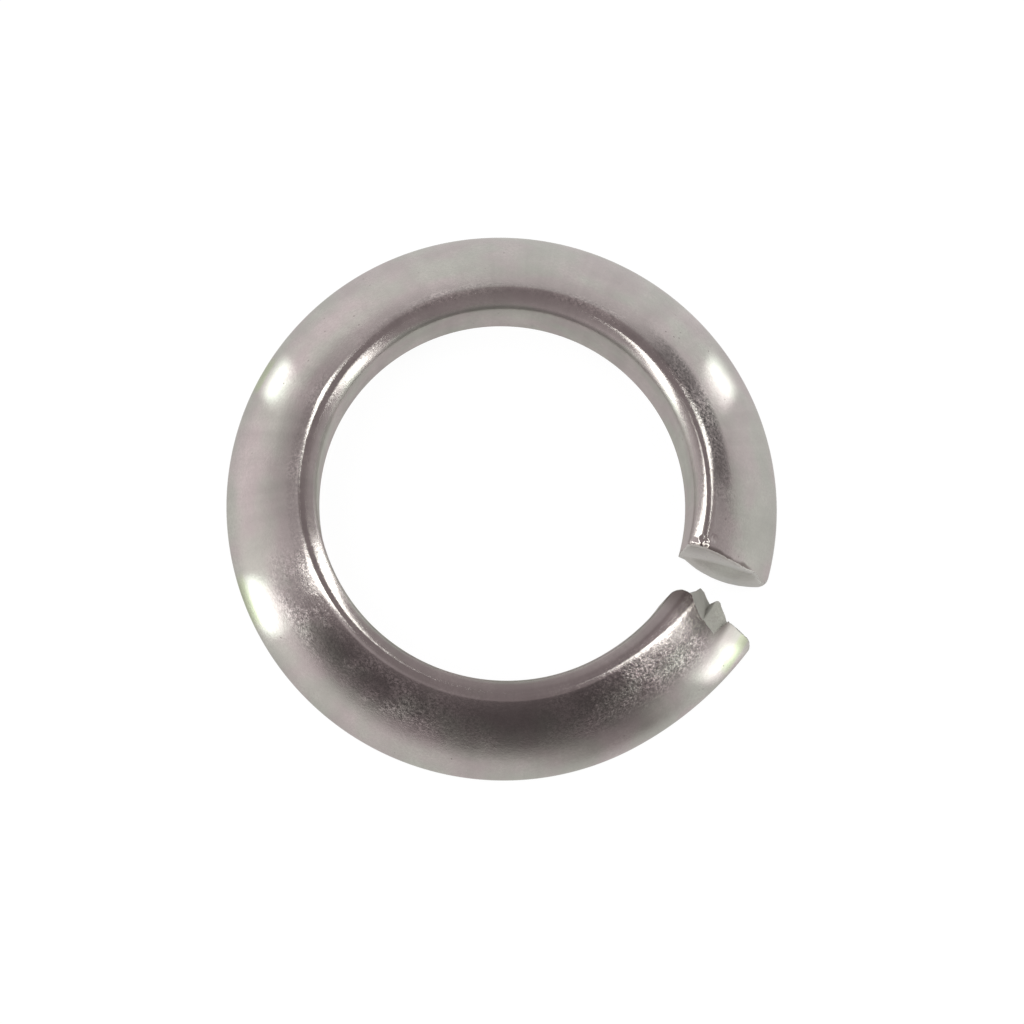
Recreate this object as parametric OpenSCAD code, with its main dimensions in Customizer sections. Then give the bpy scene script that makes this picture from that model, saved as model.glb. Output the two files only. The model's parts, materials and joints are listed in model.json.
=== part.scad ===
// Split spring washer with a domed flank, of the kind that sits under a wheel nut.
// It lies on its flat base in the XY plane with its crest up. The bore is on Z and
// the gap is on +X, between the sheared end on the +Y side and the torn end on -Y.
// Sizes are in millimetres and degrees.

/* [Ring] */
// Outside diameter, over the rim of the base
outer_d = 27.5; // [22:0.1:34]
// Diameter of the bore
bore_d = 18.3; // [15:0.1:22]
// Height from the base to the crest
height = 4; // [2.8:0.1:5.5]
// Width of the flat land along the crest
land_w = 0.06; // [0.04:0.02:1]

/* [Edges] */
// Radius of the round between the bore and the land
bore_edge_r = 0.7; // [0.2:0.05:0.8]
// Radius of the round between the land and the flank
crest_edge_r = 0.5; // [0.3:0.05:0.9]
// Radius of the round between the flank and the base
rim_edge_r = 0.2; // [0.1:0.05:0.3]

/* [Gap and lead] */
// Angle of the gap, between the two cut planes
gap_angle = 12.7; // [8:0.1:20]
// Angle of the lead, the stretch before the torn end that is bent less than the rest
lead_angle = 33; // [18:1:45]
// How much the flank's bend radius grows along the lead
flank_opening = 4; // [1:0.25:6]
// How much the bore's bend radius grows along the lead
bore_opening = 1.25; // [0.5:0.25:2]

/* [Sheared end] */
// How far the sheared end bulges past its cut plane
bulge_l = 0.6; // [0.2:0.02:0.9]
// Width of the bulge along the cut plane
bulge_w = 4.8; // [2:0.1:5.6]
// Distance of the middle of the bulge from the middle of the base, outwards
bulge_x = 0.3; // [0:0.05:0.5]
// Height of the middle of the bulge above the base
bulge_z = 0.3; // [0:0.05:0.5]
// Height above the base at which the bulge fades out
bulge_top = 1.25; // [0.8:0.05:1.6]

/* [Torn end] */
// Distance from the outer edge of the land to the inner tooth
tooth_inset = 0.32; // [0.1:0.02:0.6]
// Width of the inner tooth
inner_tooth_w = 1.1; // [0.6:0.05:1.3]
// How far the inner tooth stands past its cut plane
inner_tooth_l = 0.68; // [0.4:0.02:0.9]
// Width of the outer tooth
outer_tooth_w = 1.15; // [0.6:0.05:1.3]
// How far the outer tooth stands past its cut plane
outer_tooth_l = 0.57; // [0.4:0.02:0.9]
// Tilt of the inner tooth's torn face from level
inner_tear_tilt = 63; // [55:1:70]
// Tilt of the outer tooth's torn face from level
outer_tear_tilt = 47; // [40:1:55]
// How far back from the cut plane the outer tooth's torn face starts
outer_tear_back = 1.1; // [0.6:0.05:1.6]
// Angle that the outer tooth's torn face narrows by, away from its tip
outer_tear_taper = 20; // [0:1:30]

/* [Corners] */
// Radius of the worn outer corner of the sheared end
sheared_corner_r = 0.4; // [0.2:0.05:0.6]
// Radius of the worn outer corner of the torn end
torn_corner_r = 0.45; // [0.2:0.05:0.6]
// Radius of the worn corner of the torn end at the bore
bore_corner_r = 0.6; // [0.3:0.05:0.8]

/* [Hidden] */

steel = [0.70, 0.69, 0.67];
ring_fn = 240;
flank_fn = 480;
edge_fn = 64;
// What cuts reach past the metal
over = 1;

outer_r = outer_d / 2;
bore_r = bore_d / 2;

// The modules are drawn with the seam, where the lead starts, on +X. From there it is
// this far round to the middle of the gap, and this far to the sheared end.
gap_from_seam = lead_angle + gap_angle / 2;
sheared_from_seam = lead_angle + gap_angle;
// Width of the gap at the rim
gap_w = outer_d * sin(gap_angle / 2);

// The section is split at this radius: the lead bends its two sides apart
split_r = bore_r + bore_edge_r;
split_lap = land_w / 4;
// The flank is drawn this much under its size, so that the rounds always meet it
flank_lap = 0.0002;
// Worn corners are set this far past the rim or the bore wall, to cross it cleanly
corner_lap = 0.01;

// Centres of the rounds at the crest and at the rim
crest_at = [split_r + land_w, height - crest_edge_r];
rim_at = [outer_r - rim_edge_r, rim_edge_r];

// The flank is part of a sphere centred on Z, tangent to both of those rounds. For a
// sphere of radius r its centre is at flank_base + flank_slope * r, and r solves a
// quadratic.
rise = crest_at.y - rim_at.y;
flank_slope = (crest_edge_r - rim_edge_r) / rise;
flank_base = (pow(rim_edge_r, 2) - pow(crest_edge_r, 2) + crest_at * crest_at - rim_at * rim_at) / (2 * rise);
drop = rim_at.y - flank_base;
qa = 1 - pow(flank_slope, 2);
qb = 2 * (flank_slope * drop - rim_edge_r);
qc = pow(rim_edge_r, 2) - pow(rim_at.x, 2) - pow(drop, 2);
flank_r = (sqrt(pow(qb, 2) - 4 * qa * qc) - qb) / (2 * qa);
flank_at = [0, flank_base + flank_slope * flank_r];

// Where the flank touches a round
function unit(v) = v / norm(v);
function touch(centre) = flank_at + flank_r * unit(centre - flank_at);

// Seen from the torn end's cut plane: the axis of a side of the lead that is set back by
// opening, and how far from Z a point of that plane lies if it bends at radius bend there
function lead_axis(opening) = opening * [-cos(lead_angle), sin(lead_angle)];
function lead_x(bend, opening, y = 0) =
    lead_axis(opening).x + sqrt(pow(bend + opening, 2) - pow(y - lead_axis(opening).y, 2));
// Height of the flank there, at radius x from Z
function bent_from(x) = norm([x, 0] - lead_axis(flank_opening)) - flank_opening;
function flank_height(x) = flank_at.y + sqrt(pow(flank_r, 2) - pow(bent_from(x), 2));

// The bulge is the side of a barrel: its radius seen from above, and that of its side
bulge_r = (pow(bulge_w / 2, 2) + pow(bulge_l, 2)) / (2 * bulge_l);
bulge_side_r = (pow(bulge_top - bulge_z, 2) + pow(bulge_l, 2)) / (2 * bulge_l);

// Centres of the bulge and of the worn corners, each from its own cut plane. Where the
// bulge is too narrow to reach the sheared end's corner, that is worn from the plane.
bulge_at = [(bore_r + outer_r) / 2 + bulge_x, bulge_r - bulge_l];
sheared_corner_x = outer_r - sheared_corner_r + corner_lap;
torn_corner_bend = outer_r - torn_corner_r + corner_lap;
bore_corner_bend = bore_r + bore_corner_r - corner_lap;
bulge_drop = sqrt(max(0, pow(bulge_r - sheared_corner_r, 2) - pow(sheared_corner_x - bulge_at.x, 2)));
sheared_corner_at = [sheared_corner_x, min(bulge_at.y - bulge_drop, sheared_corner_r)];
torn_corner_at = [lead_x(torn_corner_bend, flank_opening, -torn_corner_r), -torn_corner_r];
bore_corner_at = [lead_x(bore_corner_bend, bore_opening, -bore_corner_r), -bore_corner_r];

// The teeth narrow together where the flank is too narrow for them. They start at these
// radii.
flank_w = lead_x(rim_at.x, flank_opening) - crest_at.x;
tooth_fit = min(1, flank_w / (tooth_inset + inner_tooth_w + outer_tooth_w));
inner_w = tooth_fit * inner_tooth_w;
outer_w = tooth_fit * outer_tooth_w;
inner_x = crest_at.x + tooth_fit * tooth_inset;
outer_x = inner_x + inner_w;
// The blunt tip of each tooth, from and to these parts of its width
inner_tip = [0.25, 0.4];
outer_tip = [0.2, 0.35];
// Parts of their own length that the inner tooth starts with, that the valley after it
// stands out to, and that the outer tooth's tip slopes down to
inner_root = 0.2;
valley_part = 0.55;
outer_slope = 0.93;
// Part of the outer tooth's width at which its torn face starts on the flank
tear_start = 0.15;
tear_x = outer_x + tear_start * outer_w;
// What both tears stay short of
tear_reach = 2 * outer_tear_back;
// The directions that the torn faces lean in, turned from radial towards the gap
inner_tear_turn = 40;
outer_tear_turn = 17;
// The teeth are undercut from this height, at this angle from level
undercut_z = 0.6;
undercut_angle = 55;

// A disc of radius r at a point of the section
module disc(point, r, fn = edge_fn)
    translate(point) circle(r, $fn = fn);

// The side of the section with the domed flank, out from radius x
module flank_side(x) {
    intersection() {
        disc(flank_at, flank_r - flank_lap, flank_fn);
        polygon([
            [x, 0], [rim_at.x, 0], touch(rim_at), [outer_r, height],
            touch(crest_at), [crest_at.x, height], [x, height]
        ]);
    }
    disc(rim_at, rim_edge_r);
    disc(crest_at, crest_edge_r);
}

// The side of the section with the bore, in to radius x
module bore_side(x) {
    polygon([
        [bore_r, 0], [x, 0], [x, height],
        [split_r, height], [bore_r, height - bore_edge_r]
    ]);
    disc([split_r, height - bore_edge_r], bore_edge_r);
}

// The part of the ring that is bent true, from the gap round to the seam
module true_ring()
    rotate_extrude(angle = 360 - gap_from_seam, start = gap_from_seam, $fn = ring_fn) {
        flank_side(split_r);
        bore_side(split_r + split_lap);
    }

// Turns one side of the section through the lead, about an axis set back by opening
module along_lead(opening)
    translate([-opening, 0, 0])
        rotate_extrude(angle = gap_from_seam, $fn = ring_fn)
            translate([opening, 0]) children();

// The lead: its flank opens out faster than its bore, so the land widens to the tip
module lead() {
    along_lead(bore_opening) bore_side(split_r + split_lap);
    difference() {
        along_lead(flank_opening) flank_side(bore_r - over);
        translate([-bore_opening, 0, -over])
            cylinder(r = split_r + bore_opening, h = height + 2 * over, $fn = ring_fn);
    }
}

// What an upright round of radius r takes off a corner. The sides of the corner lie in
// the directions side_a and side_b from the round's centre.
module corner_waste(centre, r, side_a, side_b) {
    reach = r + over;
    translate([centre.x, centre.y, -over])
        linear_extrude(height + 2 * over)
            difference() {
                polygon([
                    [0, 0], reach * unit(side_a),
                    reach * (unit(side_a) + unit(side_b)), reach * unit(side_b)
                ]);
                circle(r, $fn = edge_fn);
            }
}

// The barrel whose side makes the bulge, standing on its own middle
module barrel()
    rotate_extrude($fn = edge_fn)
        intersection() {
            translate([bulge_r - bulge_side_r, 0]) circle(bulge_side_r, $fn = edge_fn);
            translate([0, -bulge_r]) square(2 * bulge_r);
        }

// What the shear takes off the +Y end: all that is past its cut plane but a low bulge,
// and its outer corner
module sheared_waste()
    rotate([0, 0, sheared_from_seam]) {
        difference() {
            translate([0, -gap_w, -over]) cube([outer_d, gap_w, height + 2 * over]);
            translate([bulge_at.x, bulge_at.y, bulge_z]) barrel();
        }
        corner_waste(sheared_corner_at, sheared_corner_r, sheared_corner_at - bulge_at, sheared_corner_at);
    }

// Everything above a torn face that goes through a point, leans by tilt and is turned
// from radial. The child is the outline of the cut, seen from above.
module tear(point, tilt, turn)
    difference() {
        translate([0, 0, -over]) linear_extrude(height + 2 * over) children();
        translate(point)
            rotate([0, 0, turn])
                rotate([0, tilt, 0])
                    translate([-outer_d, -outer_d, -outer_d])
                        cube([2 * outer_d, 2 * outer_d, outer_d]);
    }

// The two teeth seen from above, from their cut plane to their tips
module teeth()
    intersection() {
        translate([inner_x, 0, -over])
            linear_extrude(height + 2 * over)
                polygon([
                    [0, -over], [0, inner_root * inner_tooth_l],
                    [inner_tip[0] * inner_w, inner_tooth_l],
                    [inner_tip[1] * inner_w, inner_tooth_l],
                    [inner_w, valley_part * inner_tooth_l],
                    [inner_w + outer_tip[0] * outer_w, outer_tooth_l],
                    [inner_w + outer_tip[1] * outer_w, outer_slope * outer_tooth_l],
                    [inner_w + outer_w, 0],
                    [inner_w + outer_w, -over]
                ]);
        translate([0, 0, undercut_z])
            rotate([undercut_angle, 0, 0])
                translate([0, -outer_d, 0]) cube([outer_d, 2 * outer_d, outer_d]);
    }

// What the tear takes off the -Y end: all that is past its cut plane but the teeth, what
// lay above the two torn faces, and its two corners
module torn_waste()
    rotate([0, 0, lead_angle]) {
        difference() {
            translate([0, 0, -over]) cube([outer_d, outer_d, height + 2 * over]);
            teeth();
        }
        tear([inner_x, 0, height], inner_tear_tilt, inner_tear_turn)
            translate([inner_x, -tear_reach]) square([inner_w, tear_reach + over]);
        tear([tear_x, -outer_tear_back, flank_height(tear_x)], outer_tear_tilt, outer_tear_turn)
            difference() {
                translate([outer_x, -tear_reach]) square([outer_w, tear_reach + over]);
                translate([outer_x + outer_w, 0])
                    rotate([0, 0, -outer_tear_taper])
                        translate([0, -2 * tear_reach]) square(2 * tear_reach);
            }
        corner_waste(torn_corner_at, torn_corner_r, torn_corner_at - lead_axis(flank_opening), [0, 1]);
        corner_waste(bore_corner_at, bore_corner_r, [0, 1], lead_axis(bore_opening) - bore_corner_at);
    }

module spring_washer()
    color(steel)
        rotate([0, 0, -gap_from_seam]) {
            difference() {
                true_ring();
                sheared_waste();
            }
            difference() {
                lead();
                torn_waste();
            }
        }

spring_washer();
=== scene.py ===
import json
import math

import bmesh
import bpy
import numpy as np
from mathutils import Matrix, Vector, noise
from mathutils.geometry import delaunay_2d_cdt


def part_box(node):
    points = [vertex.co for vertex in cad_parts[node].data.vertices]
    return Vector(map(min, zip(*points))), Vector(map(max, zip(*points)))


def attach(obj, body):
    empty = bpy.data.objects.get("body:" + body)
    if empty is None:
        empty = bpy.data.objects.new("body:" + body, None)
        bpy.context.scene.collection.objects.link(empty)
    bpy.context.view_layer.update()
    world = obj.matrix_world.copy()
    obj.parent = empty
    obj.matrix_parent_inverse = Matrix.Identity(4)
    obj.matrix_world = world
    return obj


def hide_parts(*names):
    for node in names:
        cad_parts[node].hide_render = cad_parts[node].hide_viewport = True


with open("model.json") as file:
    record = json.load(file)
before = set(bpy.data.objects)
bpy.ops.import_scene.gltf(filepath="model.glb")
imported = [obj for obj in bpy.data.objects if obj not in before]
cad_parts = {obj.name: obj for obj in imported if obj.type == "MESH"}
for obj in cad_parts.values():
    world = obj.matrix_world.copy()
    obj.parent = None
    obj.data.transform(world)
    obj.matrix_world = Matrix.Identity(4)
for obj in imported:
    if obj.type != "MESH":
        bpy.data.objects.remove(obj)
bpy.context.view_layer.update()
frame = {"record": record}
print("frame loaded")

mm = 0.001

# the ring, in millimetres and degrees round from the middle of the gap
washer = {
    "boreEdge": 0.7,        # rounds of the section
    "crestEdge": 0.5,
    "rimEdge": 0.2,
    "landWidth": 0.06,
    "gapAngle": 12.7,
    "leadAngle": 33.0,      # stretch before the torn end that is bent less
    "flankOpening": 4.0,    # how far back its bend is centred, on each side of the land
    "boreOpening": 1.25,
    "closeLines": 12.6,     # the mesh's lines along the flank lie closer inside this radius
    "ringStep": 0.68,       # degrees between rings
    "endStep": 0.2,         # finer rings near the two ends
    "endZone": 9.0,
    "warpZone": 14.0,       # stretch over which rings bend to follow an end
    "walkFrom": 2.6,        # the search for an end face starts this far before its cut,
    "walkTo": 1.2,          # and goes on this far past it
    "walkStep": 0.01,
    "capStep": 0.045,       # spacing of the points on an end face
    "capMargin": 0.6,       # and how many steps they keep off its outline
    "sharpAngle": 42,       # edges over this angle stay crisp
}

shearedEnd = {
    "bulge": 0.6,
    "bulgeWidth": 4.8,
    "bulgeShift": 0.3,
    "bulgeHeight": 0.3,
    "bulgeTop": 1.25,
    "corner": 0.4,
    "edgeRound": 0.13,
    "relief": 0.012,
    "reliefSize": 0.5,
    "seed": 3.0,
}

tornEnd = {
    "inset": 0.32,
    "innerWidth": 1.1,
    "innerLength": 0.68,
    "innerShape": [(0, 0.2), (0.25, 1), (0.4, 1)],      # shares of its width and length
    "outerWidth": 1.15,
    "outerLength": 0.57,
    "outerShape": [(0.2, 1), (0.35, 0.93)],
    "outerFoot": 0.15,      # share of the outer tooth's width where its tear starts
    "valley": 0.37,
    "innerTilt": 63.0,
    "innerTurn": 40.0,
    "outerTilt": 47.0,
    "outerTurn": 17.0,
    "outerBack": 1.1,
    "outerTaper": 20.0,
    "undercutHeight": 0.6,
    "undercutAngle": 55.0,
    "corner": 0.45,
    "boreCorner": 0.6,
    "edgeRound": 0.05,
    "relief": 0.03,
    "reliefSize": 0.22,
    "seed": 11.0,
}

# how the edge of an end face is worn
endEdge = {
    "ragged": (0.75, 0.5),  # shares of edgeRound: its middle, and how far noise takes it
    "raggedSize": 0.6,
    "footHeight": 0.4,      # below this height the round shrinks,
    "footRound": 0.15,      # to this share of itself at the base
    "reach": 1.0,           # further than this from the bore, the crest and the rim there is none
}


def unitOf(vector):
    return vector / np.linalg.norm(vector)


def arc(centre, radius, first, last, count):
    # points round a centre, at angles from straight up towards the rim
    turn = np.linspace(first, last, count)
    return np.stack([centre[0] + radius * np.sin(turn), centre[1] + radius * np.cos(turn)], 1)


def line(start, end, count):
    return np.linspace(start, end, count)


low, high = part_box("spring_washer")
boreMount = next(m for m in frame["record"]["mounts"] if m["name"] == "bore")
boreRadius = boreMount["dims"]["r_mm"]
outerRadius = -low.y / mm
height = high.z / mm
splitRadius = boreRadius + washer["boreEdge"]
crestAt = np.array([splitRadius + washer["landWidth"], height - washer["crestEdge"]])
rimAt = np.array([outerRadius - washer["rimEdge"], washer["rimEdge"]])
shearedCut = washer["gapAngle"] / 2
tornCut = 360 - washer["gapAngle"] / 2
leadStart = tornCut - washer["leadAngle"]


def flankSphere():
    # the sphere centred on the axis that touches the rounds of the crest and the rim
    crestEdge, rimEdge = washer["crestEdge"], washer["rimEdge"]
    rise = crestAt[1] - rimAt[1]
    slope = (crestEdge - rimEdge) / rise
    base = (rimEdge**2 - crestEdge**2 + crestAt @ crestAt - rimAt @ rimAt) / (2 * rise)
    drop = rimAt[1] - base
    # its radius is the root of a quadratic
    a = 1 - slope**2
    b = 2 * (slope * drop - rimEdge)
    c = rimEdge**2 - rimAt[0] ** 2 - drop**2
    radius = (math.sqrt(b**2 - 4 * a * c) - b) / (2 * a)
    return radius, np.array([0, base + slope * radius])


flankRadius, flankAt = flankSphere()


def sectionOutline():
    # round the section from the foot of the bore, over the crest and back along the base
    crestTurn = math.atan2(*unitOf(crestAt - flankAt))
    rimTurn = math.atan2(*unitOf(rimAt - flankAt))
    closeTurn = math.asin(washer["closeLines"] / flankRadius)
    boreEdge = washer["boreEdge"]
    parts = [       # each stretch ends with its number of points
        line([boreRadius, 0], [boreRadius, height - boreEdge], 14),
        arc([splitRadius, height - boreEdge], boreEdge, -math.pi / 2, 0, 12),
        line([splitRadius, height], [crestAt[0], height], 4),
        arc(crestAt, washer["crestEdge"], 0, crestTurn, 9),
        arc(flankAt, flankRadius, crestTurn, closeTurn, 46),
        arc(flankAt, flankRadius, closeTurn, rimTurn, 14),
        arc(rimAt, washer["rimEdge"], rimTurn, math.pi, 10),
        line([rimAt[0], 0], [boreRadius, 0], 12),
    ]
    return np.concatenate([part[:-1] for part in parts])


def polarRadius(bend, angle):
    # how far out a line of the section lies, at an angle round from the gap
    into = np.radians(np.clip(angle - leadStart, 0, None))
    flankSide = np.clip((bend - splitRadius) / washer["landWidth"], 0, 1)

    def spread(opening):
        reach = np.sqrt((bend + opening) ** 2 - (opening * np.sin(into)) ** 2)
        return reach - opening * np.cos(into)

    return (1 - flankSide) * spread(washer["boreOpening"]) + flankSide * spread(washer["flankOpening"])


def bendAt(x):
    # which line of the flank comes out at x in the torn end's cut plane
    lead, opening = math.radians(washer["leadAngle"]), washer["flankOpening"]
    return math.hypot(x + opening * math.cos(lead), opening * math.sin(lead)) - opening


def cornerStand(x, bend, radius, side, cut):
    # an upright round where an end meets the rim (side 1) or the bore (side -1)
    edgeX, step = polarRadius(bend, cut), 0.1
    slope = (edgeX - polarRadius(bend, cut - step)) / (math.radians(step) * edgeX)
    centreX = edgeX - radius * (slope + side * math.hypot(1, slope))
    past = np.clip(side * (x - centreX), 0, radius)
    return np.sqrt(radius**2 - past**2) - radius


def shearedStand(x, z):
    # how far the sheared end stands past its cut plane: the side of a low barrel
    end = shearedEnd
    bulge = end["bulge"]
    radius = ((end["bulgeWidth"] / 2) ** 2 + bulge**2) / (2 * bulge)
    sideRadius = ((end["bulgeTop"] - end["bulgeHeight"]) ** 2 + bulge**2) / (2 * bulge)
    middle = (boreRadius + outerRadius) / 2 + end["bulgeShift"]
    side = np.clip(sideRadius**2 - (z - end["bulgeHeight"]) ** 2, 0, None)
    girth = radius - sideRadius + np.sqrt(side)
    stand = np.sqrt(np.clip(girth**2 - (x - middle) ** 2, 0, None)) - (radius - bulge)
    return np.maximum(stand, 0) + cornerStand(x, outerRadius, end["corner"], 1, shearedCut)


def leanOf(x, z, foot, tilt, turn):
    # where a torn face that leans by tilt and is turned from radial meets height z
    tilt, turn = math.radians(tilt), math.radians(turn)
    out = math.sin(tilt) * math.cos(turn) * (x - foot[0]) + math.cos(tilt) * (z - foot[2])
    return foot[1] - out / (math.sin(tilt) * math.sin(turn))


def tornStand(x, z):
    # how far the torn end stands past its cut plane: two teeth, and the tears behind them
    end = tornEnd
    innerX = crestAt[0] + end["inset"]
    outerX = innerX + end["innerWidth"]
    endX = outerX + end["outerWidth"]
    inner = [(innerX + across * end["innerWidth"], out * end["innerLength"])
             for across, out in end["innerShape"]]
    outer = [(outerX + across * end["outerWidth"], out * end["outerLength"])
             for across, out in end["outerShape"]]
    toothX, toothY = zip(*inner, (outerX, end["valley"]), *outer, (endX, 0))
    teeth = np.where((x > innerX) & (x < endX), np.interp(x, toothX, toothY), 0)
    undercut = (z - end["undercutHeight"]) / math.tan(math.radians(end["undercutAngle"]))
    stand = np.maximum(np.minimum(teeth, undercut), 0)

    innerTear = leanOf(x, z, [innerX, 0, height], end["innerTilt"], end["innerTurn"])
    footX = outerX + end["outerFoot"] * end["outerWidth"]
    footZ = flankAt[1] + math.sqrt(flankRadius**2 - bendAt(footX) ** 2)
    outerTear = leanOf(x, z, [footX, -end["outerBack"], footZ], end["outerTilt"], end["outerTurn"])
    side = -(endX - x) / math.tan(math.radians(end["outerTaper"]))
    tear = np.where(x < outerX, innerTear, np.maximum(outerTear, side))
    stand = np.where((x > innerX) & (x < endX), np.minimum(stand, tear), stand)

    stand = stand + cornerStand(x, outerRadius, end["corner"], 1, tornCut)
    return stand + cornerStand(x, boreRadius, end["boreCorner"], -1, tornCut)


def insideOf(points, outline):
    # which points lie inside a closed outline
    inside = np.zeros(len(points), bool)
    for start, end in zip(outline, np.roll(outline, -1, axis=0)):
        if start[1] == end[1]:
            continue
        across = (start[1] > points[:, 1]) != (end[1] > points[:, 1])
        crossing = start[0] + (points[:, 1] - start[1]) * (end[0] - start[0]) / (end[1] - start[1])
        inside ^= across & (points[:, 0] < crossing)
    return inside


def capPoints(outline, step):
    # points that fill the section evenly, in staggered rows, kept off its outline
    rows = np.arange(step / 2, height, step * 0.87)     # near the height of an even triangle
    points = []
    for number, z in enumerate(rows):
        shift = step / 2 * (number % 2)
        xs = np.arange(boreRadius + step / 2 + shift, outerRadius, step)
        points.append(np.stack([xs, np.full(len(xs), z)], 1))
    points = np.concatenate(points)
    points = points[insideOf(points, outline)]
    return points[distanceTo(points, outline) > step * washer["capMargin"]]


def distanceTo(points, outline):
    # shortest distance from each point to a closed outline
    best = np.full(len(points), np.inf)
    for start, end in zip(outline, np.roll(outline, -1, axis=0)):
        along = end - start
        part = np.clip((points - start) @ along / (along @ along), 0, 1)
        best = np.minimum(best, np.linalg.norm(points - start - part[:, None] * along, axis=1))
    return best


def uneven(points, size, seed, octaves=4):
    # fractal noise at each point of the section, from about -1 to 1
    return np.array([
        noise.fractal(Vector((x / size, z / size, seed)), 0.9, 2.1, octaves) for x, z in points
    ])


def edgeFall(distance, radius):
    # how far a rounded edge falls away, at a distance in from the edge
    inward = np.clip(radius - distance, 0, radius)
    return radius - np.sqrt(radius**2 - inward**2)


def endAngles(points, cut, side, stand, drop):
    # walks every line of the ring towards the gap, to where it comes out of the end face
    walk = np.arange(-washer["walkFrom"], washer["walkTo"], washer["walkStep"])
    angle = cut + side * np.degrees(walk[None, :] / points[:, :1])
    radius = polarRadius(points[:, :1], angle)
    turn = np.radians(angle - cut)
    x = radius * np.cos(turn)
    y = side * radius * np.sin(turn)
    over = y - (stand(x, points[:, 1:]) - drop[:, None])
    first = np.argmax(over > 0, axis=1)
    rows = np.arange(len(points))
    inner, outer = over[rows, first - 1], over[rows, first]
    part = np.clip(inner / (inner - outer), 0, 1)
    return angle[rows, first - 1] + part * (angle[rows, first] - angle[rows, first - 1])


def placed(points, angle):
    # section points turned round the axis, in metres
    radius = polarRadius(points[:, 0], angle)
    turn = np.radians(angle)
    return np.stack([radius * np.cos(turn), radius * np.sin(turn), points[:, 1]], 1) * mm


def ringStations():
    # where the rings of the mesh lie, before they follow the ends
    zone, fine = washer["endZone"], washer["endStep"]
    start = np.arange(shearedCut, shearedCut + zone, fine)
    end = np.arange(tornCut, tornCut - zone, -fine)[::-1]
    count = int((end[0] - start[-1]) / washer["ringStep"])
    return np.concatenate([start, np.linspace(start[-1], end[0], count)[1:-1], end])


def capOf(outline, end, cut, side, stand):
    # an end face: its rim follows the outline, and its inside has the relief of the break
    points = np.concatenate([outline, capPoints(outline, washer["capStep"])])
    top = outline[outline[:, 1] > 0]
    distance = distanceTo(points, outline)
    distance[: len(outline)] = 0
    middle, swing = endEdge["ragged"]
    ragged = middle + swing * uneven(points, endEdge["raggedSize"], end["seed"] + 7.0, 2)
    softness = np.clip(points[:, 1] / endEdge["footHeight"], endEdge["footRound"], 1)
    fromTop = np.min(np.linalg.norm(points[:, None] - top[None], axis=2), axis=1)
    reach = endEdge["reach"]
    drop = edgeFall(np.where(fromTop < reach, distance, reach), end["edgeRound"] * ragged * softness)
    drop = drop - end["relief"] * uneven(points, end["reliefSize"], end["seed"])
    angles = endAngles(points, cut, side, stand, drop)
    loop = list(range(len(outline)))
    onlyInside, tolerance = 1, 1e-7
    _, _, faces, original, _, _ = delaunay_2d_cdt(
        [Vector(point) for point in points], [], [loop], onlyInside, tolerance, True
    )
    index = [ids[0] for ids in original]
    triangles = [[index[corner] for corner in face] for face in faces]
    return points, angles, triangles


def sweep(outline, shearedAngles, tornAngles):
    # rings of the section all the way round, that bend near the ends to meet their faces
    stations = ringStations()
    across, zone = len(outline), washer["warpZone"]
    vertices = []
    for station in stations:
        nearStart = np.clip(1 - (station - shearedCut) / zone, 0, 1)
        nearEnd = np.clip(1 - (tornCut - station) / zone, 0, 1)
        angle = station + nearStart * (shearedAngles[:across] - shearedCut)
        angle = angle + nearEnd * (tornAngles[:across] - tornCut)
        vertices.append(placed(outline, angle))
    faces = []
    for ring in range(len(stations) - 1):
        this, following = ring * across, (ring + 1) * across
        for i in range(across):
            j = (i + 1) % across
            faces.append([this + i, following + i, following + j, this + j])
    return vertices, faces


def buildWasher(name):
    outline = sectionOutline()
    across = len(outline)
    shearedPoints, shearedAngles, shearedFaces = capOf(outline, shearedEnd, shearedCut, -1, shearedStand)
    tornPoints, tornAngles, tornFaces = capOf(outline, tornEnd, tornCut, 1, tornStand)
    print("end faces", len(shearedFaces), len(tornFaces))

    vertices, faces = sweep(outline, shearedAngles, tornAngles)
    slots = [0] * len(faces)
    total = len(vertices) * across
    for points, angles, triangles, firstRing, slot in (
        (shearedPoints, shearedAngles, shearedFaces, 0, 1),
        (tornPoints, tornAngles, tornFaces, total - across, 2),
    ):
        vertices.append(placed(points[across:], angles[across:]))
        shift = total - across
        for face in triangles:
            faces.append([firstRing + i if i < across else shift + i for i in face])
            slots.append(slot)
        total += len(points) - across

    mesh = bpy.data.meshes.new(name)
    mesh.from_pydata(np.concatenate(vertices).tolist(), [], faces)
    mesh.polygons.foreach_set("material_index", slots)
    build = bmesh.new()
    build.from_mesh(mesh)
    bmesh.ops.recalc_face_normals(build, faces=build.faces)
    build.to_mesh(mesh)
    build.free()
    mesh.shade_smooth()
    mesh.set_sharp_from_angle(angle=math.radians(washer["sharpAngle"]))
    piece = bpy.data.objects.new(name, mesh)
    bpy.context.scene.collection.objects.link(piece)
    print("washer mesh", len(mesh.vertices), "points", len(mesh.polygons), "faces")
    return piece


def direction(azimuth, fromTop):
    # one unit long, at an azimuth and an angle from straight up, in degrees
    azimuth, fromTop = math.radians(azimuth), math.radians(fromTop)
    return Vector((
        math.sin(fromTop) * math.cos(azimuth), math.sin(fromTop) * math.sin(azimuth), math.cos(fromTop)
    ))


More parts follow.
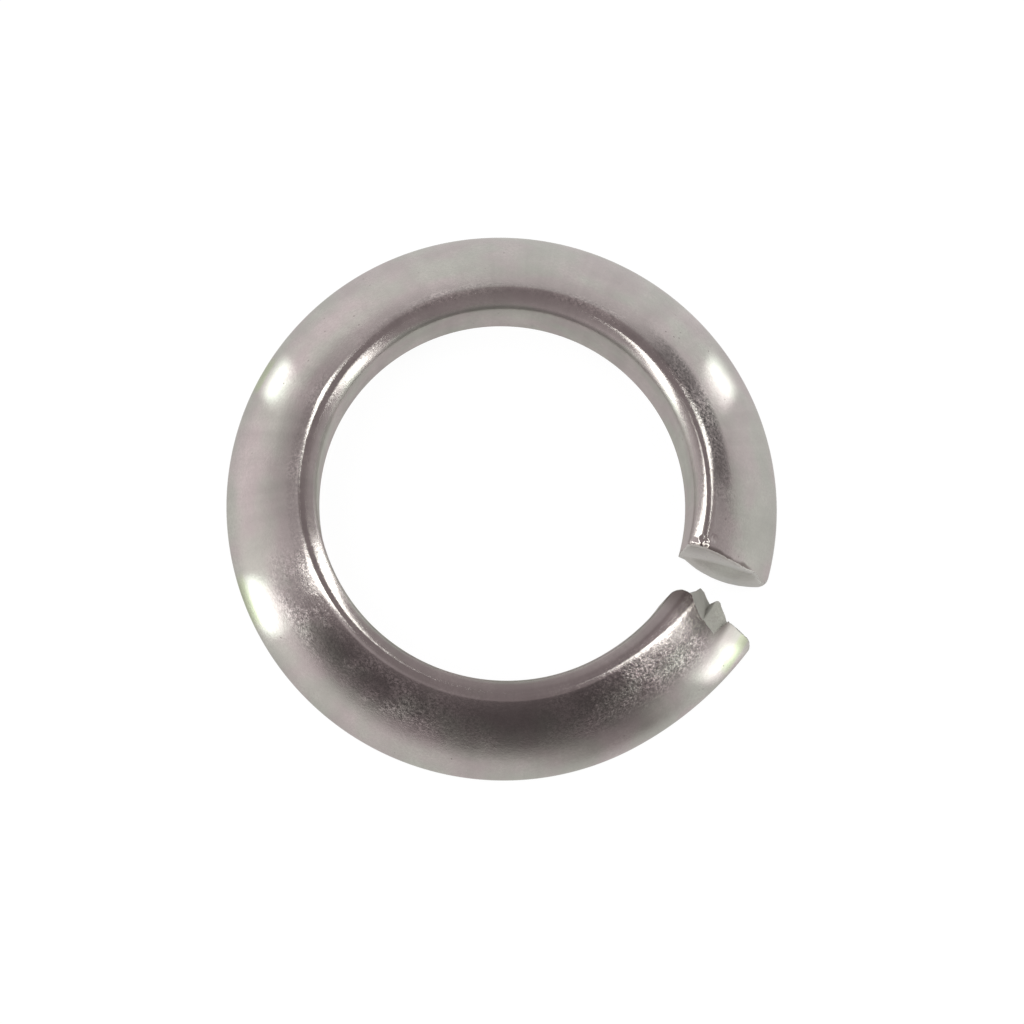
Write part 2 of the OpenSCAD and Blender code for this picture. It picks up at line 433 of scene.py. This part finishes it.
class Wire:
    # a socket in a node tree, so that shader maths can be written as plain sums
    def __init__(self, tree, socket=None):
        self.tree = tree
        self.socket = socket

    def make(self, kind, settings=None, inputs=None, output=0):
        node = self.tree.nodes.new(kind)
        for name, value in (settings or {}).items():
            if name == "stops":
                ramp = node.color_ramp
                while len(ramp.elements) < len(value):
                    ramp.elements.new(1)
                for element, (place, colour) in zip(ramp.elements, value):
                    element.position = place
                    element.color = colour
            else:
                setattr(node, name, value)
        for name, value in (inputs or {}).items():
            if isinstance(value, Wire):
                self.tree.links.new(value.socket, node.inputs[name])
            else:
                node.inputs[name].default_value = value
        return Wire(self.tree, node.outputs[output]) if node.outputs else None

    def maths(self, operation, *values, clamp=False):
        inputs = dict(enumerate(values))
        return self.make("ShaderNodeMath", {"operation": operation, "use_clamp": clamp}, inputs)

    def __add__(self, other):
        return self.maths("ADD", self, other)

    def __sub__(self, other):
        return self.maths("SUBTRACT", self, other)

    def __rsub__(self, other):
        return self.maths("SUBTRACT", other, self)

    def __mul__(self, other):
        return self.maths("MULTIPLY", self, other)

    __radd__ = __add__
    __rmul__ = __mul__

    def band(self, low, high):
        # 0 below low, 1 above high, smooth between
        return self.make("ShaderNodeMapRange", {"interpolation_type": "SMOOTHSTEP"},
                         {"Value": self, "From Min": low, "From Max": high})

    def mixed(self, first, second):
        # this value blends two colours
        return self.make("ShaderNodeMix", {"data_type": "RGBA"},
                         {"Factor": self, 6: first, 7: second}, 2)

    def vector(self, operation, *values, output="Vector"):
        return self.make("ShaderNodeVectorMath", {"operation": operation}, dict(enumerate(values)), output)

    def scaled(self, factor):
        # a colour or vector, made stronger or weaker
        return self.make("ShaderNodeVectorMath", {"operation": "SCALE"}, {0: self, "Scale": factor})

    def length(self):
        return self.vector("LENGTH", self, output="Value")

    def towards(self, azimuth):
        # 1 where a direction points that way, and 0 square to it
        return self.vector("DOT_PRODUCT", self, direction(azimuth, 90), output="Value")

    def azimuth(self):
        # how far round a vector points, as a part of a full turn
        parts = self.make("ShaderNodeSeparateXYZ", {}, {"Vector": self})
        y = Wire(self.tree, parts.socket.node.outputs[1])
        return self.maths("FRACT", self.maths("ARCTAN2", y, parts) * (0.5 / math.pi))

    def ring(self, levels):
        # a brightness that changes round a full turn, and comes back to its first level
        levels = levels + [(360, levels[0][1])]
        stops = [(angle / 360, (level / 2, level / 2, level / 2, 1)) for angle, level in levels]
        return self.make("ShaderNodeValToRGB", {"stops": stops}, {"Fac": self}) * 2.0


def newTree(owner):
    owner.use_nodes = True
    owner.node_tree.nodes.clear()
    return owner.node_tree


# what the three surfaces have in common; sizes in millimetres
steel = {
    "stainColour": (0.12, 0.10, 0.09, 1),
    "even": 0.0,                # how far the shading is drawn to one direction,
    "evenTo": (0, 0),           # which is this azimuth and angle from straight up
    "tintSize": 2.6,            # size of the changes from colour to warmColour
    "warmth": 0.8,              # how warm it is at least, beside the bore:
    "warmFrom": (0.05, 0.3),    # this far past the bore's wall it begins,
    "warmTo": (10.5, 11.5),     # and between these radii it fades out
    "cloudSize": 3.2,
    "clouds": 0.3,              # how strong the darker and lighter clouds are
    "speckSize": 0.6,           # spacing of the dark specks
    "grit": 0.08,               # how strongly the grain shades the whole surface
    "tarnish": 0.08,            # and how much that surface is darkened
    "patchCore": 0.4,           # share of each patch below that is at full strength
    # worn patches: azimuth, half their length, radius, half their width, grit, and tarnish, which in
    # places paints shade (above 0) or a highlight (below 0)
    "worn": [],
    # greenish patches: azimuth, half their length, radius, half their width
    "green": [],
    # small dents: azimuth, radius, half their width, depth
    "dents": [],
}
# bright zinc over the whole ring
zinc = steel | {
    "colour": (0.378, 0.373, 0.337, 1),
    "warmColour": (0.394, 0.352, 0.340, 1),
    "roughness": 0.14,
    "dull": 0.0,                # share of the surface that is matt
    # the rubbed round of the bore: how matt, rough and flat, and where its round and wall end
    "bore": {"dull": 0.1, "rough": 0.2, "worn": 0.55, "roundTo": (0.2, 0.6), "wallTo": (0.05, 0.28)},
    "lay": 2.1,                 # degrees that the surface leans along the ring
    "grainSize": 0.15,
    "grainHeight": 0.0025,
    "wornHeight": 0.012,        # and how much higher the grain is where there is grit
    "peelSize": 0.9,
    "peelHeight": 0.004,
    "pitting": 0.6,
    "marks": 0.14,              # faint marks across the ring
    "marksAround": 70.0,
    "clouds": 0.4,
    # some of these patches carry painted light: the one at 46 paints a dark reflection beside the crest,
    # the small darkening of others paints some shade, and those at 344 and 353 paint highlights at the
    # torn end
    "worn": [
        (333, 25, 11.2, 1.4, 0.8, 0.0),
        (248, 34, 11.2, 1.2, 0.6, 0.08),
        (46, 30, 10.5, 0.7, 0.5, 0.45),
        (197, 34, 10.25, 0.5, 0.28, 0.08),
        (292, 40, 11.2, 1.4, 0.2, 0.0),
        (112, 50, 10.1, 0.4, 0.3, 0.04),
        (353, 7, 12.8, 1.2, 0.0, -0.4),
        (344, 15, 10.2, 0.5, 0.2, -0.35),
    ],
    "greenColour": (0.365, 0.39, 0.285, 1),
    "green": [(350, 6, 13.65, 0.35), (175, 5, 13.6, 0.3), (225, 7, 13.6, 0.35)],
    "dents": [
        (7.7, 9.41, 0.3, 0.05),
        (8.3, 10.0, 0.28, 0.05),
        (10.1, 10.26, 0.28, 0.05),
        (9.3, 9.75, 0.24, 0.04),
    ],
    # painted shade of the burr along the sheared edge, drawn as a dark line: how dark, wide and ragged,
    # and the radii where it ends
    "burr": {"dark": 0.8, "width": (0.08, 0.26), "ragged": 0.9, "azimuth": 11, "ends": (12.4, 12.8)},
}
# bare, finely dragged metal
shearedFace = steel | {
    "colour": (0.64, 0.635, 0.59, 1),
    "warmColour": (0.58, 0.55, 0.515, 1),
    "stainColour": (0.16, 0.13, 0.12, 1),
    "roughness": 0.35,
    "dull": 0.75,
    "even": 1.0,
    "evenTo": (-84, 68),
    "grainSize": 0.12,
    "grainHeight": 0.006,
    "peelSize": 0.4,
    "peelHeight": 0.006,
    "pitting": 0.5,
}
# bare, crystalline metal
tornFace = steel | {
    "colour": (0.365, 0.36, 0.32, 1),
    "warmColour": (0.325, 0.315, 0.285, 1),
    "stainColour": (0.12, 0.11, 0.10, 1),
    "roughness": 0.6,
    "dull": 0.8,
    "even": 1.5,
    "evenTo": (75, 35),
    "grainSize": 0.12,
    "grainHeight": 0.015,
    "peelSize": 0.3,
    "peelHeight": 0.012,
    "pitting": 0.5,
    "worn": [(351, 8, 12.0, 0.7, 0.6, -0.18)],
}


def steelMaterial(name, look):
    material = bpy.data.materials.new(name)
    wire = Wire(newTree(material))
    place = wire.make("ShaderNodeTexCoord", output="Object")
    flat = wire.vector("MULTIPLY", place, (1, 1, 0))
    out = flat.length()
    away = wire.vector("NORMALIZE", flat)

    def noiseOf(size, detail, rough):
        return wire.make("ShaderNodeTexNoise", {}, {
            "Vector": place, "Scale": 1 / (size * mm), "Detail": detail, "Roughness": rough,
        })

    def outFrom(first, last, start=0):
        # 0 inside the first radius, 1 outside the last
        return out.band((start + first) * mm, (start + last) * mm)

    def patchOf(azimuth, half, radius, width):
        # 1 in a patch of the ring, fading out round it
        core = look["patchCore"]
        end, full = math.cos(math.radians(half)), math.cos(math.radians(half * core))
        along = away.towards(azimuth).band(end, full)
        off = wire.maths("ABSOLUTE", out - radius * mm)
        return along * (1 - off.band(width * core * mm, width * mm))

    grain = noiseOf(look["grainSize"], 3.0, 0.85)
    peel = noiseOf(look["peelSize"] * 2, 2.0, 0.5)
    clouds = noiseOf(look["cloudSize"], 5.0, 0.65)
    tint = noiseOf(look["tintSize"], 2.0, 0.55)
    cells = wire.make("ShaderNodeTexVoronoi", {"feature": "F1"}, {
        "Vector": place, "Scale": 1 / (look["speckSize"] * mm),
    }, "Distance")
    speck = (1 - cells.band(0.05, 0.11)) * clouds.band(0.5, 0.58) * look["pitting"]

    # grit makes the grain strong, and comes and goes with the clouds
    grit, tarnish = look["grit"], look["tarnish"]
    # each patch adds grit, and darkens or lightens the colour; that darkening and lightening is partly
    # painted shade and painted highlight
    for azimuth, half, radius, width, gritty, patchTarnishAndPaintedLight in look["worn"]:
        patch = patchOf(azimuth, half, radius, width)
        grit = patch * gritty + grit
        tarnish = patch * patchTarnishAndPaintedLight + tarnish
    grit = (clouds.band(0.42, 0.58) * 1.1 + 0.45) * grit
    shade = 1 - tarnish + (grain.band(0.3, 0.7) - 0.5) * grit
    shade = shade + (clouds - 0.5) * (grit * 0.9 + look["clouds"])
    if "marks" in look:
        mark = wire.make("ShaderNodeTexNoise", {"noise_dimensions": "1D"}, {
            "W": place.azimuth(), "Scale": look["marksAround"], "Detail": 3.0, "Roughness": 0.6,
        })
        shade = shade + (mark - 0.5) * look["marks"]

    crest = outFrom(*look["warmFrom"], boreRadius) - outFrom(*look["warmTo"])
    colour = (tint.band(0.35, 0.65) + crest * look["warmth"]).mixed(look["colour"], look["warmColour"])
    for where in look["green"]:
        colour = patchOf(*where).mixed(colour, look["greenColour"])
    colour = speck.mixed(colour, look["stainColour"]).scaled(shade)
    if "burr" in look:
        # paints the burr's shade as a dark line along the sheared edge, in the stain and shade colour
        burr = look["burr"]
        edge = place.towards(shearedCut + 90) + (peel - 0.5) * (burr["ragged"] * mm)
        narrow, wide = burr["width"]
        paintedBurrShade = (1 - edge.band(narrow * mm, wide * mm)) * burr["dark"]
        paintedBurrShade = paintedBurrShade * away.towards(burr["azimuth"]).band(0.9, 0.95) * (1 - outFrom(*burr["ends"]))
        colour = paintedBurrShade.mixed(colour, look["stainColour"])

    metallic = 1 - look["dull"]
    rough = speck * 0.2 + look["roughness"]
    facing = wire.make("ShaderNodeNewGeometry", output="Normal")
    if "lay" in look:
        along = wire.vector("CROSS_PRODUCT", (0, 0, 1), away)
        facing = wire.vector("ADD", facing, along.scaled(math.radians(look["lay"])))
    facing = wire.vector("ADD", facing, direction(*look["evenTo"]) * look["even"])
    if "bore" in look:
        bore = look["bore"]
        inside = 1 - outFrom(*bore["roundTo"], boreRadius)
        wall = 1 - outFrom(*bore["wallTo"], boreRadius)
        metallic = metallic - inside * bore["dull"]
        rough = rough + wall * bore["rough"]
        upward = wire.make("ShaderNodeCombineXYZ", {}, {"Z": inside * bore["worn"]})
        facing = wire.vector("ADD", facing, upward)

    relief = grain * look["grainHeight"] + peel * look["peelHeight"]
    if "wornHeight" in look:
        relief = relief + grain * grit * look["wornHeight"]
    for azimuth, radius, size, depth in look["dents"]:
        apart = wire.vector("DISTANCE", flat, direction(azimuth, 90) * radius * mm, output="Value")
        relief = relief + apart.band(0, size * mm) * depth
    bump = wire.make("ShaderNodeBump", {}, {
        "Strength": 1.0, "Distance": mm, "Height": relief, "Normal": wire.vector("NORMALIZE", facing),
    })
    shader = wire.make("ShaderNodeBsdfPrincipled", {}, {
        "Base Color": colour, "Metallic": metallic, "Roughness": rough, "Normal": bump,
    })
    wire.make("ShaderNodeOutputMaterial", {}, {"Surface": shader})
    return material


piece = buildWasher("splitWasher")
for materialName, look in (("brightZinc", zinc), ("shearedSteel", shearedFace), ("tornSteel", tornFace)):
    piece.data.materials.append(steelMaterial(materialName, look))
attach(piece, "root")
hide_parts("spring_washer")
print("washer and its materials done")

# colours of the room's light, from dim to bright
tones = {
    "dim": (1, 0.893, 0.925, 1),
    "plain": (1, 0.995, 1, 1),
    "pink": (1, 0.955, 0.975, 1),       # in place of plain, on the pink side,
    "pinkFrom": (-0.2, 0.6),            # which starts between these cosines from its middle
    "bright": (0.96, 1, 0.985, 1),
    "dimTo": (0.35, 0.95),              # levels between which dim ends, and bright begins
    "brightFrom": (1.4, 2.2),
}


def toned(level, towards):
    # light of that brightness, with its colour
    side = towards.band(*tones["pinkFrom"]).mixed(tones["plain"], tones["pink"])
    side = level.band(*tones["brightFrom"]).mixed(side, tones["bright"])
    return level.band(*tones["dimTo"]).mixed(tones["dim"], side).scaled(level)


# pale ground: white to the eye, and to the metal it shows painted light and shade that change round it
floor = {
    "radius": 0.45,
    "gap": 0.01,            # how far under the washer it lies, in millimetres
    "sides": 96,
    "colour": (0.09, 0.09, 0.09, 1),
    "roughness": 0.7,
    "specular": 0.1,
    "glow": 0.93,           # how bright it looks
    # painted light and shade, seen only in the metal: its brightness inside the ring, beside it and
    # further off, by azimuth; each one gives way to the next between two distances from the middle,
    # in millimetres
    "close": 0.98,
    "closeTo": (14, 19),
    "near": [(0, 1.2), (20, 1.05), (110, 1.05), (165, 1.25), (200, 1.25), (225, 1.5), (245, 1.2),
             (298, 0.9), (314, 0.5), (328, 0.35), (341, 0.95), (352, 1.5)],
    "nearTo": (18, 38),
    "far": [(0, 1.0), (20, 0.9), (110, 0.95), (135, 1.15), (200, 1.2), (225, 1.4), (245, 1.1),
            (270, 0.85), (290, 0.6), (315, 0.3), (330, 0.25), (352, 1.2)],
    "farTo": (36, 120),
    # pools of light painted on the ground beside the washer, one for each lamp and seen only in the
    # metal: azimuth, half its width, strength, fade
    "glints": [
        (55.5, 4.6, 2.3, 3.4),
        (173, 4.4, 2.4, 3.6),
        (225.5, 6.0, 4.0, 1.6),
        (347.4, 4.3, 2.2, 3.2),
    ],
    "glintFrom": (14.6, 19.6),
    "glintAt": 20,          # how far out a glow has its full strength
}
# the room round it, all white to the eye
room = {
    "ceiling": 0.45,
    "pinkSide": 215,
    # light of the walls by azimuth: high up, lower down, and where they meet the ground
    "upper": [(0, 0.75), (45, 0.6), (110, 0.5), (140, 0.7), (195, 0.95), (225, 0.9), (270, 0.55),
              (325, 0.4), (345, 0.65)],
    "lower": [(0, 0.5), (15, 0.55), (45, 0.95), (95, 0.65), (135, 0.9), (180, 0.65), (210, 0.95),
              (225, 0.75), (242, 0.2), (330, 0.15), (350, 0.6)],
    "foot": [(0, 0.9), (45, 0.6), (75, 0.75), (135, 0.95), (165, 0.85), (195, 1.05), (215, 1.4),
             (240, 0.75), (285, 0.3), (330, 0.2)],
    # how high, as the sine of the angle up, each one gives way to the next
    "footTo": (0.02, 0.17),
    "lowerTo": (0.24, 0.55),
    "upperTo": (0.7, 0.95),
}


def buildFloor(name):
    mesh = bpy.data.meshes.new(name)
    build = bmesh.new()
    bmesh.ops.create_circle(build, cap_ends=True, segments=floor["sides"], radius=floor["radius"])
    build.to_mesh(mesh)
    build.free()
    ground = bpy.data.objects.new(name, mesh)
    ground.location.z = low.z - floor["gap"] * mm
    bpy.context.scene.collection.objects.link(ground)

    material = bpy.data.materials.new("paleGround")
    wire = Wire(newTree(material))
    seen = wire.make("ShaderNodeLightPath", output="Is Camera Ray")
    glossy = wire.make("ShaderNodeLightPath", output="Is Glossy Ray")
    through = wire.make("ShaderNodeLightPath", output="Is Transmission Ray")
    place = wire.make("ShaderNodeTexCoord", output="Object")
    away = wire.vector("NORMALIZE", place)
    distance = place.length()

    def outFrom(first, last):
        return distance.band(first * mm, last * mm)

    turn = place.azimuth()
    # painted light and shade for the metal: levels round the ground, then a painted pool of light by each
    # lamp
    near, far, foot = turn.ring(floor["near"]), turn.ring(floor["far"]), turn.ring(room["foot"])
    level = (near - floor["close"]) * outFrom(*floor["closeTo"]) + floor["close"]
    level = level + (far - near) * outFrom(*floor["nearTo"])
    level = level + (foot - far) * outFrom(*floor["farTo"])
    rise = outFrom(*floor["glintFrom"])
    for azimuth, half, strength, fade in floor["glints"]:
        spot = away.towards(azimuth).band(2 * math.cos(math.radians(half)) - 1, 1.0)
        fading = wire.maths("POWER", distance * (1 / (floor["glintAt"] * mm)), -fade)
        level = level + spot * rise * fading * strength
    emittedColour = toned(level, away.towards(room["pinkSide"]) * rise)
    plain = wire.maths("ADD", seen, through, clamp=True)
    glow = plain.mixed((0, 0, 0, 1), (floor["glow"], floor["glow"], floor["glow"], 1))
    shader = wire.make("ShaderNodeBsdfPrincipled", {}, {
        "Base Color": floor["colour"], "Roughness": floor["roughness"],
        "Specular IOR Level": floor["specular"],
        "Emission Color": glossy.mixed(glow, emittedColour), "Emission Strength": 1.0,
    })
    wire.make("ShaderNodeOutputMaterial", {}, {"Surface": shader})
    mesh.materials.append(material)


def buildRoom():
    world = bpy.data.worlds.new("room")
    bpy.context.scene.world = world
    wire = Wire(newTree(world))
    ray = wire.make("ShaderNodeTexCoord", output="Generated")
    up = wire.make("ShaderNodeSeparateXYZ", {}, {"Vector": ray}, "Z")
    turn = ray.azimuth()
    upper, lower, foot = turn.ring(room["upper"]), turn.ring(room["lower"]), turn.ring(room["foot"])
    level = foot + (lower - foot) * up.band(*room["footTo"])
    level = level + (upper - lower) * up.band(*room["lowerTo"])
    level = level + (room["ceiling"] - upper) * up.band(*room["upperTo"])
    seen = wire.make("ShaderNodeLightPath", output="Is Camera Ray")
    emittedColour = toned(level, ray.towards(room["pinkSide"]))
    background = wire.make("ShaderNodeBackground", {}, {"Color": seen.mixed(emittedColour, (1, 1, 1, 1))})
    wire.make("ShaderNodeOutputWorld", {}, {"Surface": background})


# a long strip of light on each of four sides
lamps = {
    "colour": (0.93, 1, 0.96),
    # azimuth, the angles from overhead between which it hangs, slant, distance, width, brightness
    "strips": [
        (55, 18, 76, -10, 0.30, 0.036, 7.5),
        (167, 18, 68, 0, 0.30, 0.036, 7.5),
        (223, 16, 74, 0, 0.30, 0.046, 7.5),
        (353, 18, 80, -8, 0.30, 0.04, 5.5),
    ],
}


def buildLamps():
    for number, (azimuth, top, bottom, slant, distance, width, brightness) in enumerate(lamps["strips"]):
        fromTop = (top + bottom) / 2
        tall = 2 * distance * math.tan(math.radians(bottom - top) / 2)
        data = bpy.data.lights.new(f"lamp{number}", "AREA")
        data.shape = "ELLIPSE"
        data.size, data.size_y = width, tall
        data.color = lamps["colour"]
        area = math.pi * width * tall / 4
        data.energy = brightness * math.pi * area
        lamp = bpy.data.objects.new(data.name, data)
        turned = Matrix.Rotation(math.radians(azimuth + 90), 4, "Z")
        turned = turned @ Matrix.Rotation(math.radians(fromTop), 4, "X")
        turned = turned @ Matrix.Rotation(math.radians(slant), 4, "Z")
        lamp.matrix_world = Matrix.Translation(direction(azimuth, fromTop) * distance) @ turned
        lamp.visible_camera = False
        bpy.context.scene.collection.objects.link(lamp)


# looking down on the washer from a little to one side
camera = {
    "azimuth": -81.68,
    "elevation": 79.74,
    "up": 112.95,           # azimuth that points up in the view
    "distance": 0.11043,
    "lens": 77.65,
    "sensor": 36,
    "shift": (0.00884, -0.00773),
    "clip": (0.005, 5),
}


def buildCamera():
    data = bpy.data.cameras.new("camera")
    data.lens = camera["lens"]
    data.sensor_width = camera["sensor"]
    data.clip_start, data.clip_end = camera["clip"]
    data.shift_x, data.shift_y = camera["shift"]
    eye = bpy.data.objects.new("camera", data)
    back = direction(camera["azimuth"], 90 - camera["elevation"])
    right = direction(camera["up"], 90).cross(back).normalized()
    axes = Matrix((right, back.cross(right), back)).transposed()
    eye.matrix_world = Matrix.Translation(back * camera["distance"]) @ axes.to_4x4()
    bpy.context.scene.collection.objects.link(eye)
    bpy.context.scene.camera = eye


buildFloor("ground")
buildRoom()
buildLamps()
buildCamera()
bpy.context.scene.view_settings.view_transform = "Standard"
print("ground, room, lamps and camera done")
